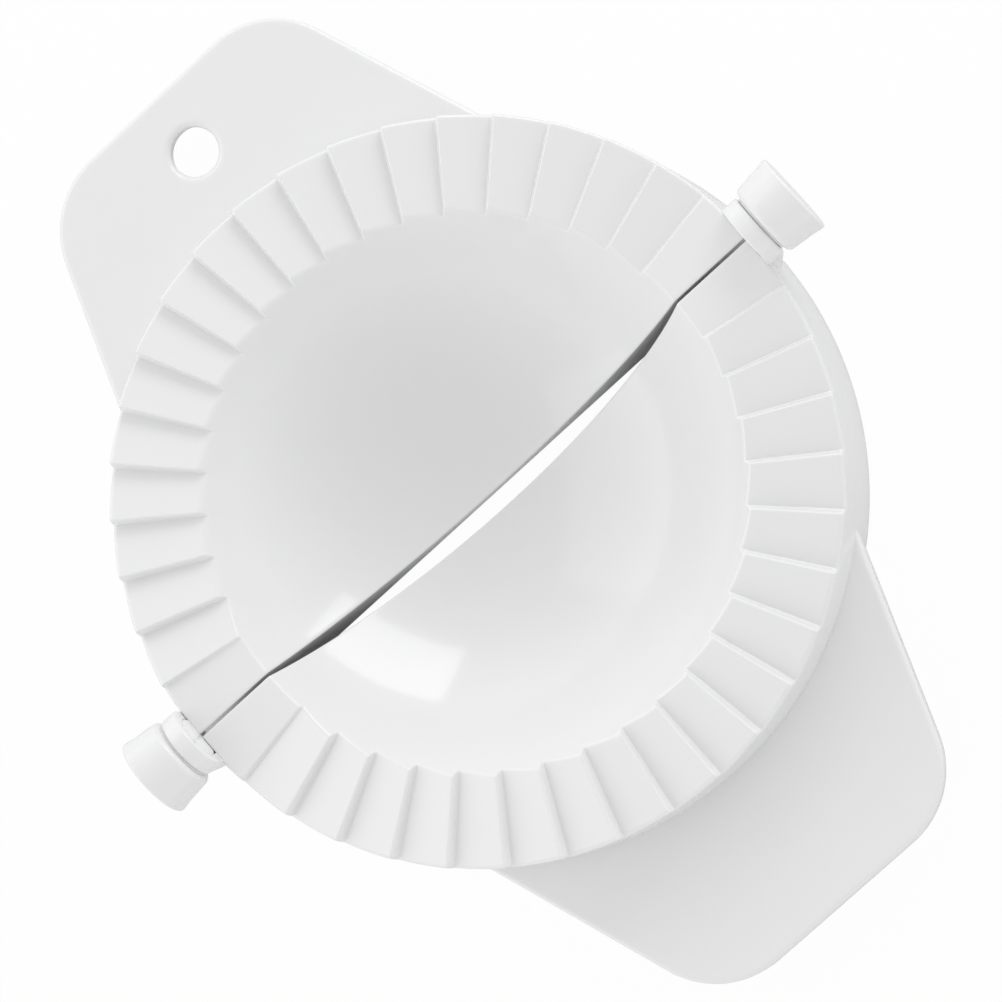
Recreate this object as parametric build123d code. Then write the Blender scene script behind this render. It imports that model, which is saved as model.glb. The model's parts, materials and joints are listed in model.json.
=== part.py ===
# Dumpling wrapper press, open flat: two hinged mould halves with meshing pleated rims, and two hinge caps.
# Millimetres. The hinge line runs along X, the skirts stand on Z = 0, the hanging hole is on the +Y side.
import math
import os

from build123d import *

os.makedirs("parts", exist_ok=True)

# Skirt, rim and half-bowl
rim_radius = 40.4        # outside of the skirt at the rim
rim_height = 18.8        # table to the mean height of the pleats
wall = 1.9               # skirt, bowl shell and hinge web
rim_plate = 3.2          # rim thickness below the mean pleat height
bowl_rim_radius = 30.0   # edge of the half-bowl
bowl_depth = 16.5        # rim to the lowest point of the bowl
half_gap = 0.35          # each half stands back this far from the hinge line
web_lean = 0.055         # run per rise of the faces that meet at the hinge line
skirt_draft = 0.15       # the skirt is this much larger at the table
rib_width = 1.4          # ribs under the rim
rib_height = 10.0
rib_angles = (45, 90, 135)

# Pleats, evenly spaced, with a flat land beside the hinge at each end
pleat_steps = 19
pleat_height = 1.5       # step height at the outer edge
step_run = 0.5           # the step face leans back by this much over its height
closed_gap = 1.0         # room for the dough between the closed rims

# Handles
handle_reach = 59.05     # far edge from the hinge line
handle_end_width = 34.1  # between the sides, at the far edge
handle_spread = 0.363    # each side runs out by this much per millimetre towards the skirt
handle_thick = 3.0
handle_drop = 9.35       # upper face below the mean pleat height
handle_corner = 10.5
handle_bevel = 0.5       # eased edges
hole_radius = 2.8
hole_from_end = 7.65     # hole centre to the far edge
hole_bevel = 0.35

# Hinge
end_trim = 0.25          # the halves are cut back by this much round the hinge line
side_play = 0.35         # between the neighbours along the hinge line
turn_play = 0.06         # between a stub and its ear
stub_radius = 2.5
ear_radius = 3.8
ear_width = 1.7
gusset_drop = 10.0       # the ear's gusset runs out into the skirt this far below the ear's centre
cap_length = 4.75
cap_radius = 4.72        # at the outer end
cap_flare = 0.4          # the cap is this much smaller at its inner end
cap_bevel = 0.6
spigot_radius = 1.7
spigot_length = 3.0

# Derived places
pleat_pitch = 180.0 / (pleat_steps + 1)
pleat_slope = pleat_height / (rim_radius * math.sin(math.radians(pleat_pitch)))
bowl_sphere = (bowl_rim_radius**2 + bowl_depth**2) / (2 * bowl_depth)
block_top = rim_height + pleat_height + 0.5
axis_height = rim_height + closed_gap / 2
land_end = rim_radius - end_trim
ear_inner = land_end + side_play
ear_outer = ear_inner + ear_width
cap_inner = ear_outer + side_play
cap_outer = cap_inner + cap_length
far = 2 * rim_radius     # longer than anything it cuts

middle = Pos(0, half_gap, 0)
bowl_centre = Pos(0, half_gap, rim_height - bowl_depth + bowl_sphere)


def both_ends(shape):
    return [shape, mirror(shape, about=Plane.YZ)]


def bar(radius, inner, outer):
    """Round bar on the hinge line at the +X end."""
    return extrude(Plane(origin=(inner, 0, axis_height), z_dir=(1, 0, 0)) * Circle(radius), outer - inner)


def behind_web(offset):
    """All that lies on the +Y side of the leaning hinge face, moved in by offset."""
    upper = half_gap + offset - web_lean * far
    lower = half_gap + offset + web_lean * far
    outline = Polygon(
        (upper, rim_height + far), (lower, rim_height - far), (far, rim_height - far), (far, rim_height + far),
        align=None,
    )
    return extrude(Plane(origin=(-far, 0, 0), x_dir=(0, 1, 0), z_dir=(1, 0, 0)) * outline, 2 * far)


def half_shell():
    """Skirt, rim, bowl shell and hinge web of the +Y half, hollow from below, before the pleats."""
    outside = middle * Pos(0, 0, block_top / 2) * Cone(rim_radius + skirt_draft, rim_radius, block_top)
    under = middle * Pos(0, 0, rim_height - rim_plate - far / 2) * Cylinder(rim_radius - wall, far)
    under &= behind_web(wall)
    under -= bowl_centre * Sphere(bowl_sphere + wall)
    rib = Pos(rim_radius / 2, 0, rim_height - rib_height / 2) * Box(rim_radius, rib_width, rib_height)
    under -= [middle * Rot(0, 0, angle) * rib for angle in rib_angles]
    # A solid block in each corner under the rim backs the hinge.
    root = Pos(rim_radius - 2.5, 3.5, rim_height - 4) * Box(6, 8, 8)
    under -= both_ends(root)
    shell = (outside & behind_web(0)) - under
    return shell - bowl_centre * Sphere(bowl_sphere)


def handle():
    """Flat handle with straight sides, large far corners and eased edges, rooted inside the skirt wall."""
    root = 0.6 * rim_radius
    at_end = handle_end_width / 2
    at_root = at_end + handle_spread * (handle_reach - root)
    outline = Polygon(
        (-at_root, root), (at_root, root), (at_end, handle_reach), (-at_end, handle_reach), align=None
    )
    outline = fillet(outline.vertices().sort_by(Axis.Y)[-2:], handle_corner)
    plate = extrude(Plane.XY.offset(rim_height - handle_drop - handle_thick) * outline, handle_thick)
    level = plate.faces().filter_by(Axis.Z)
    edges = [edge for face in level for edge in face.edges() if edge.center().Y > root + 0.5]
    plate = chamfer(edges, handle_bevel)
    return plate - middle * Pos(0, 0, rim_height / 2) * Cylinder(rim_radius - wall / 2, far)


def hanging_hole(body):
    """Round hole through the handle, its edges lightly eased."""
    at = Pos(0, handle_reach - hole_from_end, rim_height - handle_drop - handle_thick / 2)
    body -= at * Cylinder(hole_radius, handle_thick + 2)
    rims = [
        edge
        for edge in body.edges().filter_by(GeomType.CIRCLE)
        if abs(edge.radius - hole_radius) < 0.01 and edge.center().Y > rim_radius
    ]
    return chamfer(rims, hole_bevel)


def pleat_cutter(step):
    """Room above one pleat: its sloping floor and the leaning step face that starts it."""
    angle = math.radians(pleat_pitch * step)
    out = Vector(math.cos(angle), math.sin(angle), 0)
    across = (-math.sin(angle), math.cos(angle), 0)
    floor = rim_height - pleat_height / 2
    slope = pleat_slope
    if step == pleat_steps:
        floor = rim_height
        slope = 0.0
    reach = 1.2 * rim_radius * math.sin(math.radians(pleat_pitch))
    high = 2 * pleat_height + 2
    lean = high * step_run / pleat_height
    outline = Polygon(
        (0, floor), (reach, floor + slope * reach), (reach, floor + high), (-lean, floor + high), align=None
    )
    start = Vector(0, half_gap, 0) + out * (bowl_rim_radius - 5)
    length = rim_radius + 5 - (bowl_rim_radius - 5)
    return extrude(Plane(origin=start, x_dir=across, z_dir=out) * outline, length)


def pleat_cutters():
    """Cutters for a whole half rim: the flat land beside the +X end of the hinge, then every pleat."""
    tip = math.radians(pleat_pitch * 1.1)
    inner = bowl_rim_radius - 5
    outer = rim_radius + 5
    land = Polygon(
        (inner * math.cos(tip), half_gap + inner * math.sin(tip)),
        (inner, -5), (outer, -5), (outer, half_gap),
        (outer * math.cos(tip), half_gap + outer * math.sin(tip)),
        align=None,
    )
    cutters = [extrude(Plane.XY.offset(rim_height) * land, 2 * pleat_height + 2)]
    return cutters + [pleat_cutter(step) for step in range(1, pleat_steps + 1)]


def ear():
    """Round ear at the +X end of the plain half, with a neck to the rim and a gusset down the skirt."""
    ring = bar(ear_radius, ear_inner, ear_outer)
    # The neck fills the quarter between the ear and the end of the rim.
    corner = Pos(land_end, -half_gap - far / 2, axis_height - far / 2) * Box(far, far, far)
    neck = bar(ear_radius, land_end - side_play, ear_outer) & corner
    high = axis_height - ear_radius / 4
    side = Polygon(
        (land_end - wall / 2, high), (ear_outer, high), (ear_outer, axis_height - ear_radius / 2),
        (land_end, axis_height - gusset_drop), (land_end - wall / 2, axis_height - gusset_drop),
        align=None,
    )
    upright = Plane(origin=(0, -0.95 * ear_radius, 0), x_dir=(1, 0, 0), z_dir=(0, -1, 0))
    gusset = extrude(upright * side, -ear_radius / 2)
    return ring + neck + gusset


def hinge_cap():
    """Flared round cap at the +X end, eased at its inner edge, with a blind bore for the spigot."""
    small = cap_radius - cap_flare
    outline = Polyline(
        (cap_inner, 0), (cap_inner, small), (cap_outer - 0.3, cap_radius), (cap_outer, cap_radius - 0.5),
        (cap_outer, 0), (cap_inner, 0),
    )
    cap = Pos(0, 0, axis_height) * revolve(make_face(outline), Axis.X)
    inner_edge = cap.edges().filter_by(GeomType.CIRCLE).sort_by(Axis.X)[0]
    cap = chamfer(inner_edge, cap_bevel)
    return cap - bar(spigot_radius, cap_inner - 1, cap_inner + spigot_length + 0.3)


shell = half_shell() + handle()
cutters = pleat_cutters()

# Half with the hanging hole: its stubs carry the ears, and its spigots the caps.
hanging = hanging_hole(shell)
hanging -= cutters
hanging -= both_ends(bar(ear_radius + side_play, land_end, far))
stub = bar(stub_radius, land_end - 0.1, cap_inner)
spigot = bar(spigot_radius, cap_inner - 0.5, cap_inner + spigot_length)
hanging += both_ends(stub + spigot)

# Plain half: its rim is the exact counterpart of the other, which turns over on the hinge line to meet it.
rim_block = Pos(0, rim_radius / 2, rim_height) * Box(2 * rim_radius + 4, rim_radius + 4, 2 * pleat_height + 2)
rim_block -= cutters
counterpart = Pos(0, 0, rim_height) * Rot(180, 0, 0) * Pos(0, 0, -rim_height) * rim_block
plain = Rot(0, 0, 180) * shell - counterpart
plain += both_ends(ear())
plain -= both_ends(bar(stub_radius + turn_play, land_end - side_play, far))

right_cap = hinge_cap()
parts = {
    "mould_half_hanging": hanging,
    "mould_half_plain": plain,
    "hinge_cap_right": right_cap,
    "hinge_cap_left": mirror(right_cap, about=Plane.YZ),
}
for name, part in parts.items():
    export_step(part, f"parts/{name}.step")
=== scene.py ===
import json
import math

import bmesh
import bpy
import numpy as np
from mathutils import Matrix, Vector

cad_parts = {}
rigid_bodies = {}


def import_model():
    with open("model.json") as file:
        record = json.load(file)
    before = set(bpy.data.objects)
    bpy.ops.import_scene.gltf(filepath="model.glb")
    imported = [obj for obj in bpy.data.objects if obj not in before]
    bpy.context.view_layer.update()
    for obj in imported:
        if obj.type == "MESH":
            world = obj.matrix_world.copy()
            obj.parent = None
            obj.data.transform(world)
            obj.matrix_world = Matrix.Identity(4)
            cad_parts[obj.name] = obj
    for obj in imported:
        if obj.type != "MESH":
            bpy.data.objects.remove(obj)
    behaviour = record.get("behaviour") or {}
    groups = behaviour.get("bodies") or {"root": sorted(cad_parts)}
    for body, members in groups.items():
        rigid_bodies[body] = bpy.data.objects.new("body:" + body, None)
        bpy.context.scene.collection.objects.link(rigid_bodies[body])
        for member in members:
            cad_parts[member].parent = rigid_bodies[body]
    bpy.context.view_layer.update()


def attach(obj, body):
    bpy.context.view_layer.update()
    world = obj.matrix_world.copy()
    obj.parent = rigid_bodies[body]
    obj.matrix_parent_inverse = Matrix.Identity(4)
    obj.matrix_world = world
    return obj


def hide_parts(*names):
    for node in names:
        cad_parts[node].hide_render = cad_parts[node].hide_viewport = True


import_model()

# Dumpling wrapper press, open flat. All sizes below are in millimetres, in the part's own frame.
MM = 0.001

# Moulding: skirt, pleated rim, half-bowl and hinge web
RIM_RADIUS = 40.4
FOOT_RADIUS = 40.55
RIM_HEIGHT = 18.8
WALL = 1.9
PLATE_UNDERSIDE = 15.6
SKIRT_TAPER = 0.0072           # the skirt narrows by this much per millimetre of height
SKIRT_LEVELS = (0, 3, 6, 8.6, 10.2, 12.4, 14, 15.2, 16.3, 17.3)   # heights of the mesh rows up the skirt
UNDERSIDE_LEVELS = (0, 4, 8, 12)
BOWL_RADIUS = 30.0             # edge of the half-bowl
BOWL_SPHERE = 35.523
BOWL_CENTRE = 37.823           # height of the bowl sphere's centre
HALF_GAP = 0.35
WEB_LEAN = 0.055
WEB_FORWARD = 0.18             # the web stands this much nearer to the hinge line than HALF_GAP
LIP_ROUND = 0.45               # outer edge of the rim
BOWL_EDGE_ROUND = 0.5          # inner edge of the rim
WEB_ROUND = 0.22               # edge all along the web
CORNER_ROUND = 0.15            # upright corner between the skirt and the web
CORNER_REACH = 3.0             # the corner's rounding runs out over this distance from the web
END_COLUMNS = 6.0              # degrees at each end over which the mesh columns give way to the web
SUPPORT = 0.16                 # ring of faces that keeps a flat face flat beside a rounded edge
SHARP_ANGLE = 32               # edges that turn by more degrees than this are shaded sharp

# Pleats
PLEAT_STEPS = 19
PLEAT_HEIGHT = 1.5             # step height at the outer edge
STEP_RUN = 0.5                 # the step face leans back by this much over its height
PLEAT_ROUND = 0.5
PLEAT_FOOT = 14                # the pleats begin at this height on the skirt
PLEAT_FADE = 3.6               # and have their full rise this much higher
BOWL_FADE = 0.12               # the rise ends at this share of the way down the bowl
SLIDE_REACH = 1.5              # flat rim beside the bowl's edge that slides with it

# Ribs and hinge blocks under the rim
RIB_WIDTH = 1.4
RIB_ROUND = 0.3                # lower edges
RIB_FOOT = 8.8
RIB_TOP = 16.6                 # inside the rim plate
RIB_X = (22.3, 39.4)           # inside the bowl shell, inside the skirt
RIB_LEAN = 0.98                # the inner end leans out by this much per millimetre of height
RIB_ANGLES = (45.0, 45.0, 3)   # first, spacing, count
BLOCK_LOW = (34.9, 1.3, 10.8)
BLOCK_HIGH = (39.3, 7.3, 17.0)
BLOCK_ROUND = 0.25

# Handles
HANDLE_REACH = 59.05           # far edge from the hinge line
HANDLE_HALF_END = 17.05        # half the width at the far edge
HANDLE_SPREAD = 0.363          # each side runs out by this much per millimetre towards the skirt
HANDLE_TOP = 9.45
HANDLE_THICK = 3.0
HANDLE_CORNER = 10.5
HANDLE_ROUND = 0.6
HANDLE_ROOT = 39.3             # radius of the root, inside the skirt wall
HANDLE_MARGIN = 0.35           # ring of faces beside the rounded edge
HOLE_RADIUS = 2.8
HOLE_ROUND = 0.75
HOLE_DRAFT = 0.3               # the hole is this much wider at its lower edge
HOLE_MARGIN = 0.3              # ring of faces beside the rounded edge
HOLE_Y = 51.4
HOLE_STEPS = 72

# Hinge
AXIS_HEIGHT = 19.3
LATHE_STEPS = 96
END_TRIM_X = 40.15             # the half with the hole is cut back to here for the ear
END_TRIM_RADIUS = 4.15
PLAIN_TRIM_X = 40.04           # and the plain half to here for the stub
TRIM_BLEND = 0.4               # both cuts run out over this width
STUB_X = (40.1, 40.25)         # start, and end of the start's bevel
STUB_RADIUS = 2.5
STUB_BEVEL = 0.3
EAR_RADIUS = 3.8
EAR_BORE = 2.56
EAR_ROUND = 0.3
EAR_X = (40.22, 42.25)
NECK_X = (40.0, 41.4)          # neck between the ear and the rim
GUSSET_X = (39.3, 42.12)       # inside the skirt, outer face
GUSSET_SECTIONS = (-3.55, -3.3, -3.1, -2.8, -2.4, -2.0, -1.71)
GUSSET_TOP = 18.2
GUSSET_SHOULDER = 17.4         # the outer face slopes in below this height
GUSSET_FOOT = (40.2, 9.3)      # x and height
GUSSET_HOLLOW = 3.1            # the gusset keeps this far from the hinge line
CAP_X = (42.55, 47.35)
CAP_RADII = (4.32, 4.82)       # inner end, outer end
CAP_BORE_DEPTH = 3.3
CAP_BOSS = (2.56, 3.45)        # low boss on the cap, beside the ear: inner and outer radius
CAP_BOSS_RISE = 0.27
CAP_ROUND = (0.75, 0.35)       # inner end, outer end
SPIGOT_RADIUS = 1.7
SPIGOT_END = 45.55


# ---------------------------------------------------------------- mesh helpers

def mesh_of(name, points, faces, marks=None):
    """Mesh from millimetre points, smooth, with point attributes from marks."""
    mesh = bpy.data.meshes.new(name)
    mesh.from_pydata([tuple(p * MM) for p in np.asarray(points, float)], [], faces)
    for label, values in (marks or {}).items():
        attribute = mesh.attributes.new(label, "FLOAT", "POINT")
        attribute.data.foreach_set("value", np.asarray(values, np.float32))
    return smoothed(mesh)


def smoothed(mesh):
    """The mesh with all its faces shaded smooth."""
    mesh.polygons.foreach_set("use_smooth", [True] * len(mesh.polygons))
    mesh.update()
    return mesh


def from_bmesh(name, work):
    """Smooth mesh from a bmesh, which is freed."""
    mesh = bpy.data.meshes.new(name)
    work.to_mesh(mesh)
    work.free()
    return smoothed(mesh)


def places_of(mesh):
    """A mesh's points in millimetres."""
    places = np.zeros(len(mesh.vertices) * 3, np.float32)
    mesh.vertices.foreach_get("co", places)
    return places.reshape(-1, 3) / MM


def moved_to(mesh, places):
    """The mesh with its points at new places in millimetres."""
    mesh.vertices.foreach_set("co", (places * MM).astype(np.float32).ravel())
    mesh.update()
    return mesh


def outward(mesh):
    """Points every closed shell's faces outwards."""
    work = bmesh.new()
    work.from_mesh(mesh)
    bmesh.ops.recalc_face_normals(work, faces=work.faces)
    work.to_mesh(mesh)
    work.free()
    return mesh


def turned(mesh, matrix):
    """Mesh moved by a matrix, its faces still outwards."""
    mesh.transform(matrix)
    if matrix.determinant() < 0:
        mesh.flip_normals()
    return mesh


def joined(name, meshes, material):
    """One piece in one plastic from several closed shells."""
    work = bmesh.new()
    for mesh in meshes:
        work.from_mesh(mesh)
    whole = bpy.data.meshes.new(name)
    work.to_mesh(whole)
    work.free()
    whole.materials.append(material)
    whole.set_sharp_from_angle(angle=math.radians(SHARP_ANGLE))
    piece = bpy.data.objects.new(name, whole)
    bpy.context.scene.collection.objects.link(piece)
    for mesh in meshes:
        bpy.data.meshes.remove(mesh)
    return piece


def arc(centre, radius, start, end, steps):
    """Points on a circular arc in a plane, angles in degrees, both ends included."""
    angles = np.radians(np.linspace(start, end, steps + 1))
    return [(centre[0] + radius * math.cos(a), centre[1] + radius * math.sin(a)) for a in angles]


def turning(first, second, share):
    """Unit vectors between two sets of unit vectors, by equal turns."""
    dot = np.clip((first * second).sum(-1, keepdims=True), -1, 1)
    angle = np.arccos(dot)
    return (np.sin((1 - share) * angle) * first + np.sin(share * angle) * second) / np.sin(angle)


# ---------------------------------------------------------------- moulding of one half

def column_angles():
    """Angles of the mesh columns round a half rim, close together at each step of the pleats."""
    pitch = 180 / (PLEAT_STEPS + 1)
    near = (-1.7, -1.3, -1.06, -0.92, -0.8, -0.66, -0.52, -0.38, -0.22, -0.08, 0.06, 0.2, 0.36, 0.6)
    between = (1.4, 2.6, 3.8, 5.0, 6.2)
    angles = {0.0, 0.45, 1.2, 2.4, 4.0, 5.6, 174.0, 175.6, 177.6, 178.8, 179.55, 180.0}
    for step in range(1, PLEAT_STEPS + 1):
        line = pitch * step
        angles.update(line + a for a in near)
        if step < PLEAT_STEPS:
            angles.update(line + a for a in between)
    return np.array(sorted(angles))


def outer_profile():
    """Rows (radius, height, outward tilt in degrees, pleat share) from the foot to the bowl's edge."""
    rows = []
    for height in SKIRT_LEVELS:
        share = min(1.0, max(0.0, (height - PLEAT_FOOT) / PLEAT_FADE))
        rows.append((FOOT_RADIUS - SKIRT_TAPER * height, height, 0.0, share))
    middle = (RIM_RADIUS - LIP_ROUND, RIM_HEIGHT - LIP_ROUND)
    for tilt, (radius, height) in zip(np.linspace(0, 90, 7), arc(middle, LIP_ROUND, 0, 90, 6)):
        rows.append((radius, height, tilt, 1.0))
    below = BOWL_CENTRE - RIM_HEIGHT + BOWL_EDGE_ROUND
    reach = math.sqrt((BOWL_SPHERE + BOWL_EDGE_ROUND) ** 2 - below**2)
    last = math.degrees(math.atan2(below, -reach))
    for radius in np.linspace(middle[0] - SUPPORT, reach + SUPPORT, 8):
        rows.append((radius, RIM_HEIGHT, 90.0, 1.0))
    middle = (reach, RIM_HEIGHT - BOWL_EDGE_ROUND)
    for tilt, (radius, height) in zip(np.linspace(90, last, 7), arc(middle, BOWL_EDGE_ROUND, 90, last, 6)):
        rows.append((radius, height, tilt, 1.0))
    return rows


def inner_profile():
    """Rows (radius, height) of the open underside from the foot to the bowl shell."""
    rim = RIM_RADIUS - WALL
    rows = [(rim, height) for height in (*UNDERSIDE_LEVELS, PLATE_UNDERSIDE)]
    edge = math.sqrt((BOWL_SPHERE + WALL) ** 2 - (BOWL_CENTRE - PLATE_UNDERSIDE) ** 2)
    return rows + [(radius, PLATE_UNDERSIDE) for radius in np.linspace(rim, edge, 5)[1:]]


def polar_row(radius, height, angles, web_offset):
    """Points of a row that follows the rim, between the two ends of the hinge web."""
    limit = WEB_LEAN * (RIM_HEIGHT - height) - WEB_FORWARD + web_offset
    first = math.degrees(math.asin(limit / radius))
    from_end = np.minimum(angles, 180 - angles)
    drawn_in = first + (END_COLUMNS - first) * from_end / END_COLUMNS
    pushed = np.where(from_end < END_COLUMNS, drawn_in, from_end)
    turn = np.radians(np.where(angles < 90, pushed, 180 - pushed))
    return np.stack([radius * np.cos(turn), radius * np.sin(turn), np.full_like(turn, height)], 1)


def bowl_rows(edge, sphere, web_offset, shares):
    """Rows over a bowl sphere, drawn in from its edge row to one point on the web."""
    def height_at(x, y):
        return BOWL_CENTRE - np.sqrt(sphere**2 - x**2 - y**2)

    def web_at(x):
        y = np.zeros_like(x) + web_offset - WEB_FORWARD
        for _ in range(6):   # settles on the height of the bowl at that place
            y = web_offset - WEB_FORWARD + WEB_LEAN * (RIM_HEIGHT - height_at(x, y))
        return y

    pole_y = float(web_at(np.zeros(1))[0])
    near_web = (np.abs(edge[:, 0]) / np.abs(edge[:, 0]).max()) ** 6
    rows = []
    for share in shares:
        x = edge[:, 0] * (1 - share)
        y = edge[:, 1] * (1 - share) + pole_y * share
        ends = web_at(x[[0, -1]]) - y[[0, -1]]
        y = y + near_web * np.where(x > 0, ends[0], ends[1])
        rows.append(np.stack([x, y, height_at(x, y)], 1))
    pole = np.array([0.0, pole_y, float(height_at(np.zeros(1), np.full(1, pole_y))[0])])
    return rows, pole


def moulding(counterpart):
    """Skirt, rim, half-bowl and web of the +Y half as one closed mesh, before its pleats are raised."""
    angles = column_angles()
    if counterpart:
        angles = 180 - angles[::-1]
    count = len(angles)
    points, shares, slides = [], [], []

    def add(rows, share=0.0, slide=0.0):
        start = len(points)
        points.extend(rows)
        shares.extend(np.broadcast_to(share, len(rows)))
        slides.extend(np.broadcast_to(slide, len(rows)))
        return start

    # Outside, from the foot over the rim into the bowl
    inset = 1.05 * WEB_ROUND   # a little more than the web's rounded edge takes
    outside, tilts = [], []
    for radius, height, tilt, share in outer_profile():
        rows = polar_row(radius, height, angles, inset)
        slide = 0.0
        if tilt > 90 or (tilt == 90 and radius < BOWL_RADIUS + SLIDE_REACH):
            slide = (BOWL_CENTRE - RIM_HEIGHT) / BOWL_RADIUS
        outside.append(add(rows, share, slide))
        turn = np.arctan2(rows[:, 1], rows[:, 0])
        lean = math.radians(tilt)
        tilts.append(np.stack([np.cos(turn) * math.cos(lean), np.sin(turn) * math.cos(lean),
                               np.full_like(turn, math.sin(lean))], 1))
    edge = np.array(points[outside[-1]:outside[-1] + count])
    depths = [0.012, 0.03, 0.055, 0.085, BOWL_FADE, *np.linspace(0.16, 0.97, 20)]
    bowl, pole = bowl_rows(edge, BOWL_SPHERE, inset, depths)
    for depth, rows in zip(depths, bowl):
        share = max(0.0, 1 - depth / BOWL_FADE)
        slope = (BOWL_CENTRE - rows[:, 2]) / np.hypot(rows[:, 0], rows[:, 1])
        outside.append(add(rows, share, share * slope))
        tilts.append((np.array([0, 0, BOWL_CENTRE]) - rows) / BOWL_SPHERE)
    pole_index = add([pole])
    faces = []
    for lower, upper in zip(outside, outside[1:]):
        faces += [(lower + j, lower + j + 1, upper + j + 1, upper + j) for j in range(count - 1)]
    faces += [(outside[-1] + j, outside[-1] + j + 1, pole_index) for j in range(count - 1)]

    # Rounded edge all along the web, then the web's own flat face
    web = np.array([0, -1, -WEB_LEAN]) / math.hypot(1, WEB_LEAN)
    chain = [*outside, pole_index, *(start + count - 1 for start in reversed(outside))]
    normals = [t[0] for t in tilts] + [(np.array([0, 0, BOWL_CENTRE]) - pole) / BOWL_SPHERE]
    normals = np.array(normals + [t[-1] for t in reversed(tilts)])
    rest = np.array([points[i] for i in chain])
    centres = rest - WEB_ROUND * normals
    loops = [chain]
    for share in (0.25, 0.5, 0.75, 1.0):
        ring = centres + WEB_ROUND * turning(normals, np.broadcast_to(web, normals.shape), share)
        ring[[0, -1], 2] = 0
        loops.append(list(range(add(ring), len(points))))
    into = -(normals - (normals @ web)[:, None] * web)
    ring = ring + SUPPORT * into / np.linalg.norm(into, axis=1, keepdims=True)
    ring[[0, -1], 2] = 0
    ring[:, 1] = WEB_LEAN * (RIM_HEIGHT - ring[:, 2]) - WEB_FORWARD
    loops.append(list(range(add(ring), len(points))))
    for near, far in zip(loops, loops[1:]):
        faces += [(near[k], near[k + 1], far[k + 1], far[k]) for k in range(len(chain) - 1)]
    faces.append(tuple(loops[-1]))

    # Open underside
    inside = [add(polar_row(radius, height, angles, WALL)) for radius, height in inner_profile()]
    edge = np.array(points[inside[-1]:inside[-1] + count])
    under, under_pole = bowl_rows(edge, BOWL_SPHERE + WALL, WALL, np.linspace(0.06, 0.95, 14))
    inside += [add(rows) for rows in under]
    under_index = add([under_pole])
    for lower, upper in zip(inside, inside[1:]):
        faces += [(lower + j + 1, lower + j, upper + j, upper + j + 1) for j in range(count - 1)]
    faces += [(inside[-1] + j + 1, inside[-1] + j, under_index) for j in range(count - 1)]
    faces.append(tuple([start + count - 1 for start in inside] + [under_index] + list(reversed(inside))))

    # Foot
    outer, inner = outside[0], inside[0]
    faces += [(outer + j + 1, outer + j, inner + j, inner + j + 1) for j in range(count - 1)]
    sides = [loop[0] for loop in loops], [loop[-1] for loop in loops]
    faces.append(tuple([inner, *sides[0], *reversed(sides[1]), inner + count - 1]))

    points = np.array(points)
    points[:, 1] += HALF_GAP
    marks = {"pleat_share": shares, "edge_slide": slides}
    return outward(mesh_of("moulding", points, faces, marks))


# ---------------------------------------------------------------- node trees

class Tree:
    """Small helper that lays nodes in a tree."""

    def __init__(self, name, kind="GeometryNodeTree"):
        self.tree = bpy.data.node_groups.new(name, kind)
        self.ids = {}

    def socket(self, name, kind, value=None, out=False):
        """Adds a socket to the group, an input unless out is set."""
        way = "OUTPUT" if out else "INPUT"
        made = self.tree.interface.new_socket(name, in_out=way, socket_type="NodeSocket" + kind)
        if value is not None:
            made.default_value = value
        self.ids[name] = made.identifier

    def node(self, kind, inputs=None, **settings):
        """Adds a node with its settings, and fills or links its inputs."""
        node = self.tree.nodes.new(kind)
        for key, value in settings.items():
            setattr(node, key, value)
        for key, value in (inputs or {}).items():
            self.put(node.inputs[key], value)
        return node

    def put(self, socket, value):
        """Links a socket to the input, or sets its value."""
        if isinstance(value, bpy.types.NodeSocket):
            self.tree.links.new(value, socket)
        else:
            socket.default_value = value

    def math(self, operation, *values):
        """A number made from others."""
        return self.node("ShaderNodeMath", dict(enumerate(values)), operation=operation).outputs[0]

    def pick(self, condition, when_true, when_false):
        """A number that depends on a yes or no, as arithmetic."""
        return self.math("MULTIPLY_ADD", condition, self.math("SUBTRACT", when_true, when_false), when_false)


def pleat_height_group():
    """Height of the pleats above the mean rim, from the radius and the angle round the rim."""
    t = Tree("pleat height")
    for name in ("Radius", "Angle", "Steps", "Height", "Step run", "Rim radius", "Rounding"):
        t.socket(name, "Float")
    t.socket("Rise", "Float", out=True)
    given = t.node("NodeGroupInput").outputs
    radius, angle, steps, height = given["Radius"], given["Angle"], given["Steps"], given["Height"]
    pitch = t.math("DIVIDE", math.pi, t.math("ADD", steps, 1.0))
    nearest = t.math("FLOOR", t.math("ADD", t.math("DIVIDE", angle, pitch), 0.5))
    step = t.math("MINIMUM", t.math("MAXIMUM", nearest, 1.0), steps)
    past = t.math("SUBTRACT", angle, t.math("MULTIPLY", step, pitch))
    slope = t.math("DIVIDE", height, t.math("MULTIPLY", given["Rim radius"], t.math("SINE", pitch)))
    floor = t.math("MULTIPLY", height, -0.5)

    def rise(turn):
        along = t.math("MULTIPLY", radius, t.math("SINE", turn))
        return t.math("MULTIPLY_ADD", slope, along, floor)

    is_first = t.math("LESS_THAN", step, 1.5)
    is_last = t.math("GREATER_THAN", step, t.math("SUBTRACT", steps, 0.5))
    before = t.pick(is_first, 0.0, rise(t.math("ADD", past, pitch)))
    after = t.pick(is_last, 0.0, rise(past))
    lean = t.math("DIVIDE", height, given["Step run"])
    back = t.math("MULTIPLY", radius, t.math("SINE", t.math("MULTIPLY", past, -1.0)))
    face = t.math("MULTIPLY_ADD", lean, back, t.pick(is_last, 0.0, floor))
    valley = t.math("SMOOTH_MAX", face, after, given["Rounding"])
    t.put(t.node("NodeGroupOutput").inputs["Rise"], t.math("SMOOTH_MIN", before, valley, given["Rounding"]))
    return t.tree


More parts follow.
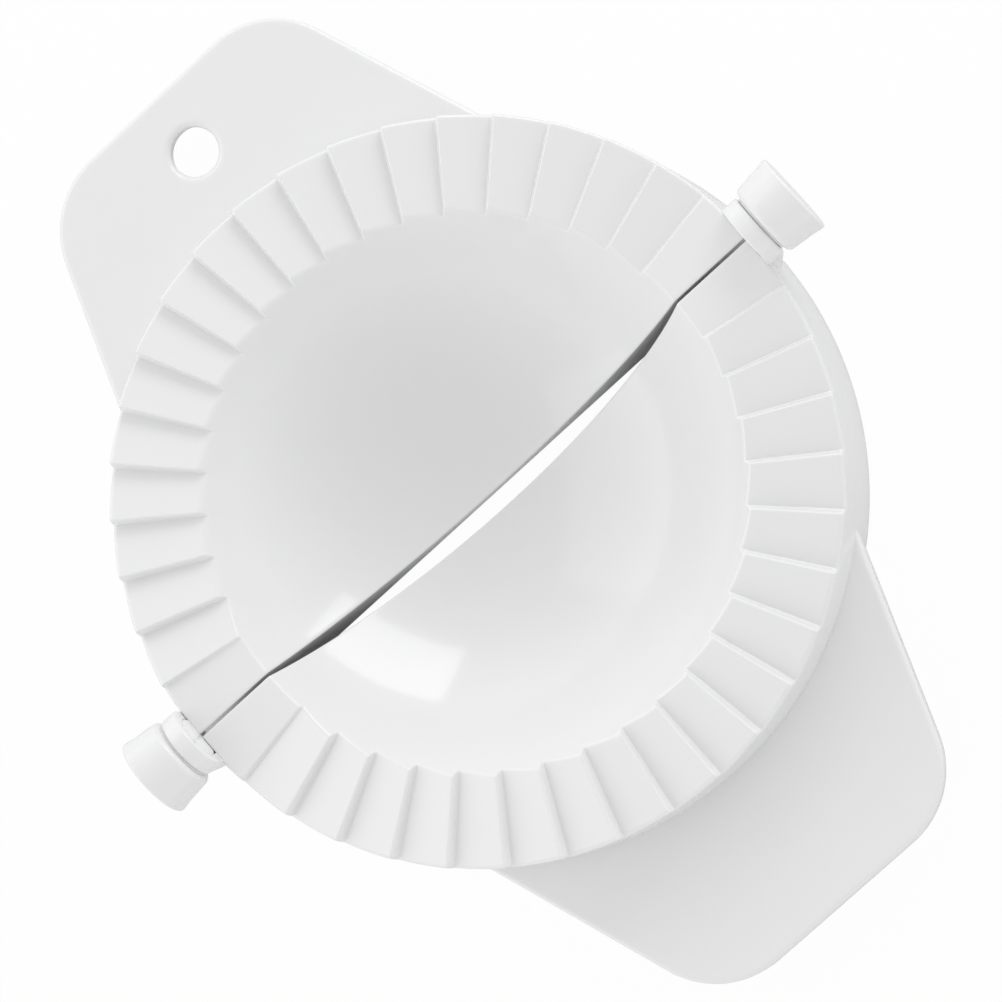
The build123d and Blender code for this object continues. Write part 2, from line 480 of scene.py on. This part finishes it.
def pleated_rim_tree(height_group):
    """Raises the pleats on a moulding's rim. With Counterpart at 1 it makes the rim that meshes with it."""
    t = Tree("pleated rim")
    t.socket("Moulding", "Geometry")
    sizes = (("Steps", float(PLEAT_STEPS)), ("Height", PLEAT_HEIGHT * MM), ("Step run", STEP_RUN * MM),
             ("Rim radius", RIM_RADIUS * MM), ("Rounding", PLEAT_ROUND * MM))
    for name, value in (*sizes, ("Counterpart", 0.0), ("Centre", HALF_GAP * MM)):
        t.socket(name, "Float", value)
    t.socket("Plastic", "Material")
    t.socket("Moulding", "Geometry", out=True)
    given = t.node("NodeGroupInput").outputs
    flip = t.math("MULTIPLY_ADD", given["Counterpart"], -2.0, 1.0)

    def rise_and_direction():
        place = t.node("ShaderNodeSeparateXYZ", {0: t.node("GeometryNodeInputPosition").outputs[0]}).outputs
        across = t.math("SUBTRACT", place["Y"], given["Centre"])
        along = t.math("MULTIPLY", place["X"], flip)
        squares = t.math("MULTIPLY", along, along), t.math("MULTIPLY", across, across)
        radius = t.math("SQRT", t.math("ADD", *squares))
        group = t.node("GeometryNodeGroup", node_tree=height_group)
        t.put(group.inputs["Radius"], radius)
        t.put(group.inputs["Angle"], t.math("ARCTAN2", across, along))
        for name, _ in sizes:
            t.put(group.inputs[name], given[name])
        rise = t.math("MULTIPLY", group.outputs["Rise"], flip)
        out = t.node("ShaderNodeCombineXYZ", {0: t.math("DIVIDE", place["X"], radius),
                                              1: t.math("DIVIDE", across, radius)}).outputs[0]
        return rise, out

    def named(name):
        kind = "GeometryNodeInputNamedAttribute"
        return t.node(kind, {"Name": name}, data_type="FLOAT").outputs["Attribute"]

    # The bowl's edge slides along the bowl first, so that it stays on the bowl when it is raised.
    rise, out = rise_and_direction()
    slide = t.node("ShaderNodeVectorMath", {0: out, "Scale": t.math("MULTIPLY", rise, named("edge_slide"))},
                   operation="SCALE").outputs[0]
    slid = t.node("GeometryNodeSetPosition", {"Geometry": given["Moulding"], "Offset": slide})
    rise, out = rise_and_direction()
    up = t.node("ShaderNodeCombineXYZ", {2: t.math("MULTIPLY", rise, named("pleat_share"))}).outputs[0]
    raised = t.node("GeometryNodeSetPosition", {"Geometry": slid.outputs[0], "Offset": up})
    finished = t.node("GeometryNodeSetMaterial",
                      {"Geometry": raised.outputs[0], "Material": given["Plastic"]})
    t.put(t.node("NodeGroupOutput").inputs[0], finished.outputs[0])
    return t


def ribs_tree():
    """Sets copies of one rib under the rim at even angles."""
    t = Tree("ribs under the rim")
    t.socket("Rib", "Geometry")
    t.socket("Count", "Int", RIB_ANGLES[2])
    t.socket("First angle", "Float", math.radians(RIB_ANGLES[0]))
    t.socket("Spacing", "Float", math.radians(RIB_ANGLES[1]))
    t.socket("Centre", "Float", HALF_GAP * MM)
    t.socket("Plastic", "Material")
    t.socket("Ribs", "Geometry", out=True)
    given = t.node("NodeGroupInput").outputs
    line = t.node("GeometryNodeMeshLine", {"Count": given["Count"]})
    line.inputs["Offset"].default_value = (0, 0, 0)
    middle = t.node("ShaderNodeCombineXYZ", {1: given["Centre"]}).outputs[0]
    placed = t.node("GeometryNodeSetPosition", {"Geometry": line.outputs[0], "Position": middle})
    index = t.node("GeometryNodeInputIndex").outputs[0]
    turn = t.math("MULTIPLY_ADD", index, given["Spacing"], given["First angle"])
    copies = t.node("GeometryNodeInstanceOnPoints", {
        "Points": placed.outputs[0], "Instance": given["Rib"],
        "Rotation": t.node("ShaderNodeCombineXYZ", {2: turn}).outputs[0]})
    whole = t.node("GeometryNodeRealizeInstances", {"Geometry": copies.outputs[0]})
    finished = t.node("GeometryNodeSetMaterial", {"Geometry": whole.outputs[0], "Material": given["Plastic"]})
    t.put(t.node("NodeGroupOutput").inputs[0], finished.outputs[0])
    return t


def grown(mesh, tree, values):
    """Plain mesh that a node tree makes from a mesh."""
    holder = bpy.data.objects.new("holder", mesh)
    bpy.context.scene.collection.objects.link(holder)
    modifier = holder.modifiers.new("tree", "NODES")
    modifier.node_group = tree.tree
    for name, value in values.items():
        modifier[tree.ids[name]] = value
    holder.update_tag()
    bpy.context.view_layer.update()
    graph = bpy.context.evaluated_depsgraph_get()
    result = bpy.data.meshes.new_from_object(holder.evaluated_get(graph))
    holder.modifiers.remove(modifier)
    bpy.data.objects.remove(holder)
    bpy.data.meshes.remove(mesh)
    return result


# ---------------------------------------------------------------- smaller forms of the mouldings

def rib():
    """One rib along +X, its ends inside the bowl shell and the skirt, its lower edges rounded."""
    half, ease = RIB_WIDTH / 2, RIB_ROUND
    section = [(-half, 1.0), *arc((-half + ease, 0.0), ease, 180, 270, 4),
               *arc((half - ease, 0.0), ease, 270, 360, 4), (half, 1.0)]
    section = [(y, RIB_FOOT + ease + z if z <= 0 else RIB_TOP) for y, z in section]
    points, faces, count = [], [], len(section)
    for end in (0, 1):
        for y, z in section:
            x = RIB_X[1] if end else RIB_X[0] + (z - RIB_FOOT) * RIB_LEAN
            points.append((x, y, z))
    faces.append(tuple(range(count)))
    faces.append(tuple(range(2 * count - 1, count - 1, -1)))
    faces += [(k, (k + 1) % count, count + (k + 1) % count, count + k) for k in range(count)]
    return outward(mesh_of("rib", points, faces))


def hinge_block():
    """Block with rounded edges that backs the hinge under the rim, at the +X end."""
    work = bmesh.new()
    bmesh.ops.create_cube(work, size=1)
    for vert in work.verts:
        vert.co = Vector([(BLOCK_LOW[k] if vert.co[k] < 0 else BLOCK_HIGH[k]) * MM for k in range(3)])
    bmesh.ops.bevel(work, geom=work.edges[:], offset=BLOCK_ROUND * MM, segments=3, profile=0.5,
                    affect="EDGES")
    return from_bmesh("block", work)


def lathe(profile):
    """Closed body turned about the hinge line from (x, radius) points; ends on the line become poles."""
    steps = LATHE_STEPS
    points, rings, faces = [], [], []
    for x, radius in profile:
        if radius < 1e-6:
            rings.append([len(points)])
            points.append((x, 0, AXIS_HEIGHT))
            continue
        rings.append(list(range(len(points), len(points) + steps)))
        for k in range(steps):
            a = 2 * math.pi * k / steps
            points.append((x, radius * math.cos(a), AXIS_HEIGHT + radius * math.sin(a)))
    pairs = list(zip(rings, rings[1:]))
    if len(rings[0]) > 1:
        pairs.append((rings[-1], rings[0]))
    for near, far in pairs:
        for k in range(steps):
            quad = [near[k % len(near)], near[(k + 1) % len(near)],
                    far[(k + 1) % len(far)], far[k % len(far)]]
            faces.append(tuple(dict.fromkeys(quad)))
    return outward(mesh_of("lathe", points, faces))


def handle_outline(inset):
    """Plan of the handle, drawn in by inset, from the middle of the root round by +X to the middle again."""
    slope = math.hypot(1, HANDLE_SPREAD)
    half_end = HANDLE_HALF_END - inset * slope

    def side_x(y):
        return half_end + HANDLE_SPREAD * (HANDLE_REACH - y)

    root = HANDLE_ROOT + inset
    y = 28.0
    for _ in range(20):   # settles where the side meets the root's circle
        y = HALF_GAP + math.sqrt(root**2 - side_x(y) ** 2)
    root_angle = math.degrees(math.atan2(y - HALF_GAP, side_x(y)))
    # Rounded far corner: its centre stays put as the outline is drawn in.
    base = HANDLE_HALF_END - HANDLE_CORNER * slope
    centre_y = HANDLE_REACH - HANDLE_CORNER
    centre_x = base + HANDLE_SPREAD * HANDLE_CORNER
    radius = HANDLE_CORNER - inset
    side_angle = math.degrees(math.atan(HANDLE_SPREAD))
    corner = arc((centre_x, centre_y), radius, side_angle, 90, 20)
    start = (side_x(y), y)
    right = arc((0, HALF_GAP), root, 90, root_angle, 24)[:-1]
    side = [(start[0] + (corner[0][0] - start[0]) * s, start[1] + (corner[0][1] - start[1]) * s)
            for s in np.linspace(0, 1, 9)[:-1]]
    end = [(centre_x * (1 - s), HANDLE_REACH - inset) for s in (0.33, 0.66, 1.0)]
    half = right + side + corner + end
    return half + [(-x, y) for x, y in reversed(half[1:-1])]


def handle(with_hole):
    """Flat handle with rounded edges, rooted in the skirt wall; the hanging hole has rounded edges too."""
    low, high = HANDLE_TOP - HANDLE_THICK, HANDLE_TOP
    tilt = [math.radians(a) for a in range(0, 91, 15)]
    drawn = [(HANDLE_ROUND + HANDLE_MARGIN, low)]
    drawn += [(HANDLE_ROUND * (1 - math.sin(a)), low + HANDLE_ROUND * (1 - math.cos(a))) for a in tilt]
    drawn += [(HANDLE_ROUND * (1 - math.cos(a)), high - HANDLE_ROUND * (1 - math.sin(a))) for a in tilt]
    drawn += [(HANDLE_ROUND + HANDLE_MARGIN, high)]
    points, loops, faces = [], [], []
    for inset, height in drawn:
        outline = handle_outline(inset)
        loops.append(list(range(len(points), len(points) + len(outline))))
        points += [(x, y, height) for x, y in outline]
    count = len(loops[0])
    for near, far in zip(loops, loops[1:]):
        faces += [(near[k], near[(k + 1) % count], far[(k + 1) % count], far[k]) for k in range(count)]
    if not with_hole:
        faces += [tuple(loops[0]), tuple(loops[-1])]
        return outward(mesh_of("handle", points, faces))
    around = HOLE_STEPS
    foot = HOLE_RADIUS + HOLE_DRAFT
    bore = [(foot + HOLE_ROUND + HOLE_MARGIN, low)]
    bore += [(foot + HOLE_ROUND * (1 - math.sin(a)), low + HOLE_ROUND * (1 - math.cos(a))) for a in tilt]
    bore += [(HOLE_RADIUS + HOLE_ROUND * (1 - math.cos(a)), high - HOLE_ROUND * (1 - math.sin(a)))
             for a in tilt]
    bore += [(HOLE_RADIUS + HOLE_ROUND + HOLE_MARGIN, high)]
    rings = []
    for radius, height in bore:
        rings.append(list(range(len(points), len(points) + around)))
        for k in range(around):
            a = 2 * math.pi * k / around - math.pi / 2
            points.append((radius * math.cos(a), HOLE_Y + radius * math.sin(a), height))
    for near, far in zip(rings, rings[1:]):
        faces += [(near[k], near[(k + 1) % around], far[(k + 1) % around], far[k]) for k in range(around)]
    half, half_ring = count // 2, around // 2
    for loop, ring in ((loops[0], rings[0]), (loops[-1], rings[-1])):
        faces.append((*loop[:half + 1], *reversed(ring[:half_ring + 1])))
        faces.append((*loop[half:], loop[0], ring[0], *reversed(ring[half_ring:])))
    return outward(mesh_of("handle", points, faces))


def prism(outline, low, high):
    """Straight body along X from an outline of (y, z) points, between two places."""
    work = bmesh.new()
    rings = []
    for x in (low, high):
        rings.append([work.verts.new([x * MM, y * MM, z * MM]) for y, z in outline])
    count = len(outline)
    work.faces.new(rings[0])
    work.faces.new(rings[1])
    for k in range(count):
        after = (k + 1) % count
        work.faces.new((rings[0][k], rings[0][after], rings[1][after], rings[1][k]))
    bmesh.ops.recalc_face_normals(work, faces=work.faces)
    return from_bmesh("prism", work)


def ear():
    """Ear of the plain half at the +X end: ring round the stub, neck to the rim, gusset down the skirt."""
    near, far = EAR_X
    ring = lathe([(near, EAR_BORE), *arc((near + EAR_ROUND, EAR_RADIUS - EAR_ROUND), EAR_ROUND, 180, 90, 8),
                  *arc((far - EAR_ROUND, EAR_RADIUS - EAR_ROUND), EAR_ROUND, 90, 0, 5), (far, EAR_BORE)])
    quarter = arc((0, AXIS_HEIGHT), EAR_RADIUS - 0.02, 180, 268, 24)
    inner = arc((0, AXIS_HEIGHT), EAR_BORE + 0.05, 262, 180, 24)
    neck = prism([*quarter, *inner], *NECK_X)
    # Gusset: its top follows the underside of the bore.
    root, face = GUSSET_X
    foot, low = GUSSET_FOOT
    points, sections = [], []
    for y in GUSSET_SECTIONS:
        top = min(GUSSET_TOP, AXIS_HEIGHT - math.sqrt(max(0.0, GUSSET_HOLLOW**2 - y**2)))
        shoulder = min(GUSSET_SHOULDER, top - 0.05)
        sections.append(len(points))
        points += [(root, y, top), (face, y, top), (face, y, shoulder), (foot, y, low), (root, y, low)]
    faces = [tuple(range(5)), tuple(range(sections[-1], sections[-1] + 5))]
    for near, far in zip(sections, sections[1:]):
        faces += [(near + k, near + (k + 1) % 5, far + (k + 1) % 5, far + k) for k in range(5)]
    gusset = outward(mesh_of("gusset", points, faces))
    return [ring, neck, gusset]


def stub():
    """Stub and spigot of the hanging half at the +X end."""
    return lathe([(STUB_X[0], 0), (STUB_X[0], STUB_RADIUS - STUB_BEVEL), (STUB_X[1], STUB_RADIUS),
                  (CAP_X[0] - 0.1, STUB_RADIUS), (CAP_X[0], STUB_RADIUS - 0.1),
                  (CAP_X[0], SPIGOT_RADIUS), (SPIGOT_END, SPIGOT_RADIUS), (SPIGOT_END, 0)])


def cap():
    """Flared hinge cap with rounded edges, a slightly domed end and a blind bore."""
    near, far = CAP_X
    small, large = CAP_RADII
    bore_end = near + CAP_BORE_DEPTH
    boss_inner, boss_outer = CAP_BOSS
    # Blind bore, then the low boss beside the ear with its outer edge eased
    profile = [(bore_end, 0), (bore_end, SPIGOT_RADIUS), (near, SPIGOT_RADIUS), (near, boss_inner),
               (near - CAP_BOSS_RISE, boss_inner), (near - CAP_BOSS_RISE, boss_outer - 0.1),
               (near - 0.17, boss_outer), (near, boss_outer + 0.04)]
    # Rounded inner end and the flaring side
    ease = CAP_ROUND[0]
    profile += arc((near + ease, small - 0.73), ease, 180, 95, 8)
    profile += [(near + 2.0, small + 0.17), (near + 3.2, small + 0.28)]
    # Rounded outer end and its slightly domed face
    ease = CAP_ROUND[1]
    profile += arc((far - 0.42, large - ease), ease, 95, 10, 8)
    profile += [(far - 0.06, 3.9), (far - 0.03, 3.2), (far, 2.0), (far, 0)]
    return lathe(profile)


# ---------------------------------------------------------------- plastic

def surface_group():
    """Look of moulded plastic: faint cloudiness, uneven gloss, ripple and fine rub marks."""
    t = Tree("moulded plastic surface", "ShaderNodeTree")
    t.socket("Tone", "Color", (0.9, 0.9, 0.915, 1))
    for name, value in (("Cloud depth", 0.02), ("Cloud scale", 90.0),
                        ("Gloss", 0.2), ("Gloss spread", 0.06),
                        ("Ripple", 0.00001), ("Ripple scale", 260.0),
                        ("Grain", 0.000002), ("Grain scale", 2600.0), ("Rub", 0.05)):
        t.socket(name, "Float", value)
    t.socket("Colour", "Color", out=True)
    t.socket("Roughness", "Float", out=True)
    t.socket("Normal", "Vector", out=True)
    given = t.node("NodeGroupInput").outputs
    place = t.node("ShaderNodeTexCoord").outputs["Object"]

    def noise(scale, detail, vector=place):
        return t.node("ShaderNodeTexNoise", {"Vector": vector, "Scale": scale, "Detail": detail}).outputs[0]

    cloud = noise(given["Cloud scale"], 3.0)
    darker = t.math("MULTIPLY", t.math("SUBTRACT", cloud, 0.5), given["Cloud depth"])
    # Blue changes less than red and green, so that the darker clouds are a little cooler.
    shade = t.node("ShaderNodeCombineXYZ", {0: t.math("ADD", darker, 1.0), 1: t.math("ADD", darker, 1.0),
                                            2: t.math("MULTIPLY_ADD", darker, 0.6, 1.0)}).outputs[0]
    tone = t.node("ShaderNodeMix", data_type="RGBA", blend_type="MULTIPLY")
    t.put(tone.inputs[0], 1.0)
    t.put(tone.inputs[6], given["Tone"])
    t.put(tone.inputs[7], shade)
    # Rub marks: the crests of a noise that is drawn out one way.
    stretched = t.node("ShaderNodeMapping", {"Vector": place, "Scale": (900.0, 60.0, 300.0),
                                             "Rotation": (0.0, 0.0, 0.7)}).outputs[0]
    rubbed = t.math("SMOOTH_MAX", t.math("SUBTRACT", noise(4.0, 2.0, stretched), 0.62), 0.0, 0.02)
    patch = t.math("SUBTRACT", noise(140.0, 2.0), 0.5)
    gloss = t.math("MULTIPLY_ADD", patch, given["Gloss spread"], given["Gloss"])
    gloss = t.math("MULTIPLY_ADD", rubbed, given["Rub"], gloss)
    height = t.math("MULTIPLY", noise(given["Ripple scale"], 1.0), given["Ripple"])
    height = t.math("MULTIPLY_ADD", noise(given["Grain scale"], 2.0), given["Grain"], height)
    bump = t.node("ShaderNodeBump", {"Strength": 1.0, "Distance": 1.0, "Height": height})
    out = t.node("NodeGroupOutput").inputs
    t.put(out["Colour"], tone.outputs[2])
    t.put(out["Roughness"], gloss)
    t.put(out["Normal"], bump.outputs[0])
    return t.tree


def plastic(name, group, tone, coat, gloss):
    """White plastic with its own tone, coat and gloss of the moulded surface."""
    material = bpy.data.materials.new(name)
    material.use_nodes = True
    nodes, links = material.node_tree.nodes, material.node_tree.links
    shader = nodes["Principled BSDF"]
    surface = nodes.new("ShaderNodeGroup")
    surface.node_tree = group
    surface.inputs["Tone"].default_value = (*tone, 1)
    surface.inputs["Gloss"].default_value = gloss
    links.new(surface.outputs["Colour"], shader.inputs["Base Color"])
    links.new(surface.outputs["Roughness"], shader.inputs["Roughness"])
    links.new(surface.outputs["Normal"], shader.inputs["Normal"])
    shader.inputs["IOR"].default_value = 1.49
    shader.inputs["Coat Weight"].default_value = coat
    shader.inputs["Coat Roughness"].default_value = 0.035
    material.diffuse_color = (*tone, 1)
    return material


surface = surface_group()
moulded_white = plastic("moulded_white_plastic", surface, (0.862, 0.863, 0.868), coat=0.35, gloss=0.16)
cap_white = plastic("cap_white_plastic", surface, (0.85, 0.851, 0.856), coat=0.3, gloss=0.18)


# ---------------------------------------------------------------- the two halves and the caps

height_group = pleat_height_group()
rim_tree = pleated_rim_tree(height_group)
rib_tree = ribs_tree()
half_turn = Matrix.Rotation(math.pi, 4, "Z")
across = Matrix.Scale(-1, 4, (1, 0, 0))


def half_shells(counterpart):
    """Moulding with its pleats, ribs, hinge blocks and handle, on the +Y side."""
    values = {"Counterpart": float(counterpart), "Plastic": moulded_white}
    shell = grown(moulding(counterpart), rim_tree, values)
    ribs = grown(rib(), rib_tree, {"Plastic": moulded_white})
    return [shell, ribs, *at_both_ends([hinge_block()]), handle(not counterpart)]


def trim_ends(mesh, end, radius):
    """Cuts a half's ends back within a radius of the hinge line, where the other half's stub or ear turns."""
    places = places_of(mesh)
    away = np.hypot(places[:, 1], places[:, 2] - AXIS_HEIGHT)
    share = np.clip((radius + TRIM_BLEND / 2 - away) / TRIM_BLEND, 0, 1)
    proud = np.clip(np.abs(places[:, 0]) - end, 0, None)
    places[:, 0] -= np.sign(places[:, 0]) * proud * share
    return moved_to(mesh, places)


def round_corners(mesh):
    """Rounds the upright corners where the skirt meets the web, on the +Y side."""
    places = places_of(mesh)
    past = np.clip(np.abs(places[:, 0]) - (RIM_RADIUS - CORNER_ROUND), 0, CORNER_ROUND)
    back = CORNER_ROUND - np.sqrt(CORNER_ROUND**2 - past**2)
    web_y = HALF_GAP - WEB_FORWARD + WEB_LEAN * (RIM_HEIGHT - places[:, 2])
    share = np.clip(1 - (places[:, 1] - web_y) / CORNER_REACH, 0, 1)
    places[:, 1] += back * share
    return moved_to(mesh, places)


def at_both_ends(meshes):
    """Meshes of the +X end with their mirror images at the -X end."""
    return meshes + [turned(mesh.copy(), across) for mesh in meshes]


shells = half_shells(False)
shells[0] = trim_ends(round_corners(shells[0]), END_TRIM_X, END_TRIM_RADIUS)
hanging = joined("hanging_half_moulding", shells + at_both_ends([stub()]), moulded_white)
plain_shells = [turned(mesh, half_turn) for mesh in half_shells(True)]
plain_shells[0] = trim_ends(plain_shells[0], PLAIN_TRIM_X, EAR_BORE)
plain = joined("plain_half_moulding", plain_shells + at_both_ends(ear()), moulded_white)
right_cap = joined("right_cap", [cap()], cap_white)
left_cap = joined("left_cap", [turned(cap(), across)], cap_white)

for piece, body, node in ((hanging, "hanging_half", "mould_half_hanging"),
                          (plain, "plain_half", "mould_half_plain"),
                          (right_cap, "hanging_half", "hinge_cap_right"),
                          (left_cap, "hanging_half", "hinge_cap_left")):
    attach(piece, body)
    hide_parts(node)


# ---------------------------------------------------------------- studio

def seen_by_camera(nodes, links):
    """1 for what the camera sees, also through glass, and 0 for the light that falls on the object."""
    paths = nodes.new("ShaderNodeLightPath")
    either = nodes.new("ShaderNodeMath")
    either.operation = "MAXIMUM"
    links.new(paths.outputs["Is Camera Ray"], either.inputs[0])
    links.new(paths.outputs["Is Transmission Ray"], either.inputs[1])
    return either.outputs[0]


def studio_white(name, seen, lit):
    """Floor that the camera sees as near white, with the object's soft shadow kept."""
    material = bpy.data.materials.new(name)
    material.use_nodes = True
    nodes, links = material.node_tree.nodes, material.node_tree.links
    nodes.clear()
    amount = nodes.new("ShaderNodeMath")
    amount.operation = "MULTIPLY"
    amount.inputs[1].default_value = seen
    links.new(seen_by_camera(nodes, links), amount.inputs[0])
    dull = nodes.new("ShaderNodeBsdfDiffuse")
    dull.inputs["Color"].default_value = (lit, lit, lit, 1)
    glow = nodes.new("ShaderNodeEmission")
    glow.inputs["Color"].default_value = (1, 1, 1, 1)
    glow.inputs["Strength"].default_value = 1.0
    mix = nodes.new("ShaderNodeMixShader")
    links.new(amount.outputs[0], mix.inputs[0])
    links.new(dull.outputs[0], mix.inputs[1])
    links.new(glow.outputs[0], mix.inputs[2])
    out = nodes.new("ShaderNodeOutputMaterial")
    links.new(mix.outputs[0], out.inputs["Surface"])
    return material


# Studio lengths are in metres.
FLOOR_REACH = 3
FLOOR_DROP = 0.0001            # keeps the floor just clear of the feet
FLOOR_SEEN = 0.965             # share of plain white in what the camera sees of the floor
FLOOR_TONE = 0.85              # what the floor throws back on the object
FLOOR_CORNERS = [(-FLOOR_REACH, -FLOOR_REACH, 0), (FLOOR_REACH, -FLOOR_REACH, 0),
                 (FLOOR_REACH, FLOOR_REACH, 0), (-FLOOR_REACH, FLOOR_REACH, 0)]
floor_mesh = bpy.data.meshes.new("studio_floor")
floor_mesh.from_pydata(FLOOR_CORNERS, [], [(0, 1, 2, 3)])
floor = bpy.data.objects.new("studio_floor", floor_mesh)
floor.location.z = -FLOOR_DROP
bpy.context.scene.collection.objects.link(floor)
floor_mesh.materials.append(studio_white("studio_floor_white", FLOOR_SEEN, FLOOR_TONE))

# The room's brightness falls from LOW_LIGHT to HIGH_LIGHT between two heights of the direction, where 0 is
# level and 1 is straight up, so it never gets quite as low as HIGH_LIGHT.
LOW_LIGHT, HIGH_LIGHT = 1.48, 0.41
FADE_FROM, FADE_TO = -0.6, 1.5
BRIGHTER_SIDE = (-0.066, 0.026, 0.0)
world = bpy.data.worlds.new("studio")
bpy.context.scene.world = world
world.use_nodes = True
nodes, links = world.node_tree.nodes, world.node_tree.links
nodes.clear()
room, white = nodes.new("ShaderNodeBackground"), nodes.new("ShaderNodeBackground")
room.inputs["Color"].default_value = (0.998, 0.998, 1.0, 1)

direction = nodes.new("ShaderNodeTexCoord")
parts = nodes.new("ShaderNodeSeparateXYZ")
fade = nodes.new("ShaderNodeMapRange")
fade.interpolation_type = "SMOOTHSTEP"
fade.inputs["From Min"].default_value = FADE_FROM
fade.inputs["From Max"].default_value = FADE_TO
fade.inputs["To Min"].default_value = LOW_LIGHT
fade.inputs["To Max"].default_value = HIGH_LIGHT
links.new(direction.outputs["Generated"], parts.inputs[0])
links.new(parts.outputs["Z"], fade.inputs["Value"])
side = nodes.new("ShaderNodeVectorMath")
side.operation = "DOT_PRODUCT"
side.inputs[1].default_value = BRIGHTER_SIDE
links.new(direction.outputs["Generated"], side.inputs[0])
strength = nodes.new("ShaderNodeMath")
links.new(fade.outputs["Result"], strength.inputs[0])
links.new(side.outputs["Value"], strength.inputs[1])
links.new(strength.outputs[0], room.inputs["Strength"])
white.inputs["Color"].default_value = (1, 1, 1, 1)
mix = nodes.new("ShaderNodeMixShader")
links.new(seen_by_camera(nodes, links), mix.inputs[0])
links.new(room.outputs[0], mix.inputs[1])
links.new(white.outputs[0], mix.inputs[2])
out = nodes.new("ShaderNodeOutputWorld")
links.new(mix.outputs[0], out.inputs["Surface"])


LAMP_AIM = Vector((0, 0, 0.01))


def softbox(name, place, size, power):
    """Rectangular lamp that looks at the object."""
    lamp = bpy.data.lights.new(name, "AREA")
    lamp.shape = "RECTANGLE"
    lamp.size, lamp.size_y = size
    lamp.energy = power
    holder = bpy.data.objects.new(name, lamp)
    bpy.context.scene.collection.objects.link(holder)
    holder.location = place
    holder.rotation_mode = "QUATERNION"
    holder.rotation_quaternion = (LAMP_AIM - Vector(place)).to_track_quat("-Z", "Y")


softbox("window_light", (0.66, 0.35, 0.36), (0.62, 0.34), 1.65)
softbox("side_panel", (-0.6, 0.47, 0.48), (1.1, 0.75), 1.45)

# Camera, fitted to the photo
CAMERA_PLACE = (0.0636265, -0.0741971, 0.4303249)
CAMERA_TURN = (1.683186, 12.776219, -41.410130)   # degrees
camera_data = bpy.data.cameras.new("camera")
camera_data.sensor_width = 36
camera_data.lens = 141.274
camera_data.clip_start = 0.01
camera = bpy.data.objects.new("camera", camera_data)
bpy.context.scene.collection.objects.link(camera)
camera.location = CAMERA_PLACE
camera.rotation_euler = [math.radians(a) for a in CAMERA_TURN]
bpy.context.scene.camera = camera
bpy.context.scene.view_settings.view_transform = "Standard"
